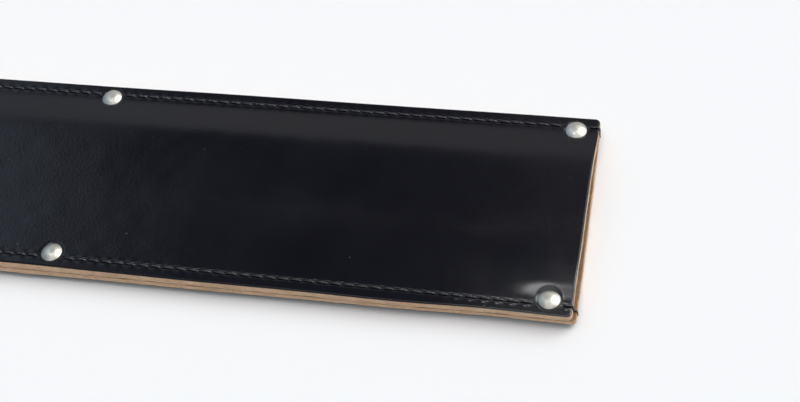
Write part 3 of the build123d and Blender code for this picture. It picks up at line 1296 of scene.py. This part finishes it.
@dataclass
class Rivet:
    """One two-part rivet: domed cap on the front and a post with its cap on the back."""

    name: str
    sizes: GuardSizes
    axis: Span
    seed: int
    radius: float = 3.3
    height: float = 1.5
    rim: float = 0.35
    roll: float = 0.16
    flat: float = 0.07
    flat_w: float = 1.3
    shoulder: float = 0.6
    shoulder_drop: float = 0.10
    shoulder_lean: float = 0.06
    shoulder_angles: Point = (35.0, 65.0, 90.0)
    roll_angles: Point = (30.0, 60.0, 90.0)
    wobble: float = 0.006
    post_r: float = 1.0
    head_r: float = 1.4
    head_up: float = 0.3
    head_step: float = 0.02
    segments: int = 72

    def dome(self, z_rim: float, way: float) -> Array:
        """Half section of a cap.

        Args:
            z_rim: height of its rim.
            way: 1 where the dome looks up and -1 where it looks down.

        Returns:
            Radius and height of each point, from the pole to the underside.
        """
        dome_h = self.height - self.rim
        sphere = (self.radius**2 + dome_h**2) / (2 * dome_h)
        reach = self.radius - self.roll * self.shoulder
        radii = np.linspace(0, reach, 16)[1:]
        drop = sphere - np.sqrt(sphere**2 - radii**2)
        heights = self.height - drop - self.flat * bell(radii, self.flat_w)
        section = [(0.0, self.height - self.flat)] + list(zip(radii, heights))
        end = heights[-1]
        for angle in self.shoulder_angles:
            turn = radians(angle)
            down = end - self.shoulder_drop * (1 - cos(turn)) - self.shoulder_lean * sin(turn)
            section.append((reach + self.roll * self.shoulder * sin(turn), down))
        section.append((self.radius, self.roll))
        for angle in self.roll_angles:
            turn = radians(angle)
            section.append((self.radius - self.roll * (1 - cos(turn)), self.roll * (1 - sin(turn))))
        return np.array([(r, z_rim + way * h) for r, h in section])

    def lathe(self, section: Array) -> Draft:
        """Turn a section round the rivet's axis, a little out of true.

        Args:
            section: radius and height of each point, from the pole on.

        Returns:
            The closed form.
        """
        draft = Draft()
        angle = np.linspace(0, 2 * pi, self.segments, endpoint=False)
        phase = np.random.default_rng(self.seed).uniform(0, 2 * pi, 2)
        off = 1 + self.wobble * np.cos(2 * angle + phase[0])
        off = off + self.wobble * 0.5 * np.cos(3 * angle + phase[1])
        top = draft.add_points(np.array([[self.axis[0], self.axis[1], section[0][1]]]))
        loops = []
        for radius, height in section[1:]:
            x = self.axis[0] + radius * off * np.cos(angle)
            y = self.axis[1] + radius * off * np.sin(angle)
            loops.append(draft.add_points(np.stack([x, y, np.full_like(x, height)], axis=-1)))
        first = loops[0]
        draft.add_faces([(int(top[0]), int(a), int(b)) for a, b in zip(first, np.roll(first, -1))])
        for near, far in zip(loops, loops[1:]):
            draft.add_loop(near, far)
        draft.add_faces([tuple(int(n) for n in loops[-1])])
        return draft

    def build(self) -> None:
        """Make both halves and dress them."""
        s = self.sizes
        z_cap, z_back = s.z_front - s.cap_press, s.z_back + s.cap_press
        top, head = z_cap + self.head_up, self.post_r * self.head_r
        post = [(self.post_r, z_back), (self.post_r, top)]
        post += [(head, top + self.head_step), (head, top + self.head_up)]
        halves = {"cap": self.dome(z_cap, 1), "post": np.array([*self.dome(z_back, -1), *post])}
        for half, section in halves.items():
            nodes = (f"rivet_{half}_{self.name}",)
            self.lathe(section).piece(f"{half}_{self.name}", [NickelPlate()], "rivet_metal", nodes)


# Studio

@dataclass
class Studio:
    """Floor, sky, lamp and camera.

    The sky's spans are parts of a direction: where a patch starts and where it is full. For
    glow, shade and gleam they are cosines of the angle from the patch's own direction.
    """

    floor_side: float = 6.0
    sun_strength: float = 1.93
    sun_spread: float = 54.0
    sun_from: Point = (0.54, 0.36, 0.76)
    horizon: float = 0.33
    overhead: float = 0.22
    overhead_span: Span = (0.15, 0.75)
    near_less: float = 0.35
    near_span: Span = (0.1, -0.3)
    far: float = 0.16
    far_span: Span = (0.35, 0.7)
    far_up: Span = (0.0, 0.45)
    glow: float = 0.60
    glow_from: Point = (0.0, -0.50, 0.866)
    glow_span: Span = (0.90, 0.975)
    shade_from: Point = (-0.28, 0.40, 0.873)
    shade_span: Span = (0.89, 0.965)
    shade: float = 0.075
    window: float = 1.75
    window_less: float = 0.7
    window_span: Span = (0.53, 0.575)
    left_span: Span = (-0.37, -0.54)
    strip: float = 0.20
    right_span: Span = (-0.32, -0.05)
    gleam: float = 7.5
    gleam_from: Point = (-0.22, 0.05, 0.974)
    gleam_span: Span = (0.9925, 0.9988)
    white: Colour = (0.99, 0.99, 1.0)
    blue: Colour = (0.48, 0.74, 1.0)
    tint: float = 0.6
    lens: float = 66.74
    sensor: float = 36.0
    clip: Span = (0.01, 50.0)
    eye: Point = (0.19949, -0.25370, 0.36399)
    right: Point = (0.9731807, 0.1910176, -0.1281858)
    up: Point = (-0.0801088, 0.8037549, 0.5895427)
    ahead: Point = (-0.2156430, 0.5634628, -0.7975010)

    def build(self) -> None:
        """Make the whole studio."""
        self._floor()
        self._sky()
        self._lamp()
        self._camera()
        bpy.context.scene.view_settings.view_transform = "Standard"

    def _floor(self) -> None:
        """Flat paper under the guard."""
        half = self.floor_side / 2
        corners = [(-half, -half, 0), (half, -half, 0), (half, half, 0), (-half, half, 0)]
        mesh = bpy.data.meshes.new("paper")
        mesh.from_pydata(corners, [], [(0, 1, 2, 3)])
        mesh.materials.append(FloorPaper().material())
        paper = bpy.data.objects.new("paper", mesh)
        bpy.context.scene.collection.objects.link(paper)

    def _sky(self) -> None:
        """Soft light from all round, painted by direction.

        A glow stands above the camera and a dark patch behind the guard, with a bluish window
        on its left and a paler strip on its right. A small bright light stands near the zenith.
        """
        world = bpy.data.worlds.new("studio")
        bpy.context.scene.world = world
        world.use_nodes = True
        bench = Bench(world.node_tree)
        way = bench.node("ShaderNodeTexCoord", out="Generated")
        x, y, z = (bench.part(way, axis) for axis in "XYZ")
        glow = bench.towards(way, self.glow_from).ease(*self.glow_span)
        shade = bench.towards(way, self.shade_from).ease(*self.shade_span)
        gleam = bench.towards(way, self.gleam_from).ease(*self.gleam_span)
        left, right = x.ease(*self.left_span), x.ease(*self.right_span)
        base = self.horizon + z.ease(*self.overhead_span) * self.overhead
        base = base * (1 - y.ease(*self.near_span) * self.near_less)
        base = base + y.ease(*self.far_span) * z.ease(*self.far_up) * self.far
        window = self.window - y.ease(*self.window_span) * self.window_less
        dark = self.shade + left * window + right * self.strip
        level = (base + glow * self.glow) * (1 - shade) + shade * dark + gleam * self.gleam
        colour = bench.mix(left * self.tint, self.white, self.blue)
        back = bench.node("ShaderNodeBackground", None, {"Color": colour, "Strength": level})
        bench.node("ShaderNodeOutputWorld", None, {"Surface": back})

    def _lamp(self) -> None:
        """Large soft lamp, far away."""
        lamp = bpy.data.lights.new("key", "SUN")
        lamp.energy = self.sun_strength
        lamp.angle = radians(self.sun_spread)
        made = bpy.data.objects.new("key", lamp)
        bpy.context.scene.collection.objects.link(made)
        back = np.array(self.sun_from) / np.linalg.norm(self.sun_from)
        side = np.cross((0.0, 0.0, 1.0), back)
        side /= np.linalg.norm(side)
        up = np.cross(back, side)
        made.matrix_world = Matrix(np.column_stack([side, up, back]).tolist()).to_4x4()

    def _camera(self) -> None:
        """Camera at the viewing angle of the picture."""
        camera = bpy.data.cameras.new("camera")
        camera.lens = self.lens
        camera.sensor_width = self.sensor
        camera.clip_start, camera.clip_end = self.clip
        made = bpy.data.objects.new("camera", camera)
        bpy.context.scene.collection.objects.link(made)
        turn = Matrix(np.column_stack([self.right, self.up, [-a for a in self.ahead]]).tolist()).to_4x4()
        made.matrix_world = Matrix.Translation(self.eye) @ turn
        bpy.context.scene.camera = made


# The whole guard: how far each edge line strays on the cutting-edge side, by the place along it

FRONT_EDGE = (
    (-161, 0.0), (-90, 0.25), (-40, 0.0), (-7, 0.30), (17, 0.06), (47, -0.14), (77, -0.06), (106, -0.30),
    (134, 0.28), (155, 0.03),
)
MIDDLE_EDGE = (
    (-161, -0.1), (-90, 0.0), (-40, -0.25), (-7, -0.20), (17, -0.20), (47, -0.28), (77, -0.12), (106, -0.12),
    (138, 0.42), (155, 0.16),
)
BACK_EDGE = (
    (-161, -0.1), (-90, -0.3), (-40, -0.6), (-8, -0.66), (15, -0.45), (46, -0.42), (76, -0.18), (106, 0.02),
    (140, 0.60), (155, 0.30),
)


def build_panels(sizes: GuardSizes) -> None:
    """Front and back panel."""
    Panel(
        "leather_front", sizes, Facing.UP, sizes.z_front, sizes.z_seam, sizes.front_rise, 0.0, 21,
        FRONT_EDGE, MIDDLE_EDGE,
    ).build(("front_panel",))
    Panel(
        "leather_back", sizes, Facing.DOWN, sizes.z_back, sizes.z_seam, -sizes.back_drop, sizes.overhang, 31,
        BACK_EDGE, MIDDLE_EDGE,
    ).build(("back_panel",))


def build_seams(sizes: GuardSizes) -> None:
    """Needle and bobbin thread of each seam.

    Args:
        sizes: the guard's sizes.
    """
    runs = {
        "spine": (Lie.ALONG, sizes.y_seam, sizes.long_holes()),
        "edge": (Lie.ALONG, -sizes.y_seam, sizes.long_holes()),
        "tip": (Lie.ACROSS, sizes.x_tip + sizes.seam_inset, sizes.tip_holes()),
    }
    for index, (name, (lie, fixed, holes)) in enumerate(runs.items()):
        lock = sizes.z_seam + sizes.thread_r
        Thread(
            f"needle_{name}", sizes, lie, fixed, sizes.z_front, lock, 40 + index, lie is Lie.ALONG
        ).build(holes, (f"{name}_needle_thread",))
        lock = sizes.z_seam - sizes.thread_r
        Thread(
            f"bobbin_{name}", sizes, lie, fixed, sizes.z_back, lock, 50 + index
        ).build(holes, (f"{name}_bobbin_thread",))


def build_rivets(sizes: GuardSizes) -> None:
    """Six rivets."""
    for index, (name, axis) in enumerate(sizes.rivets().items()):
        Rivet(name, sizes, axis, 60 + index).build()


def main() -> None:
    """Build the guard piece by piece, then the studio."""
    logging.basicConfig(level=logging.INFO, format="%(name)s: %(message)s")
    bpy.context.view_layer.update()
    sizes = GuardSizes.from_frame()
    build_panels(sizes)
    build_seams(sizes)
    build_rivets(sizes)
    Studio().build()


if __name__ == "__main__":
    main()
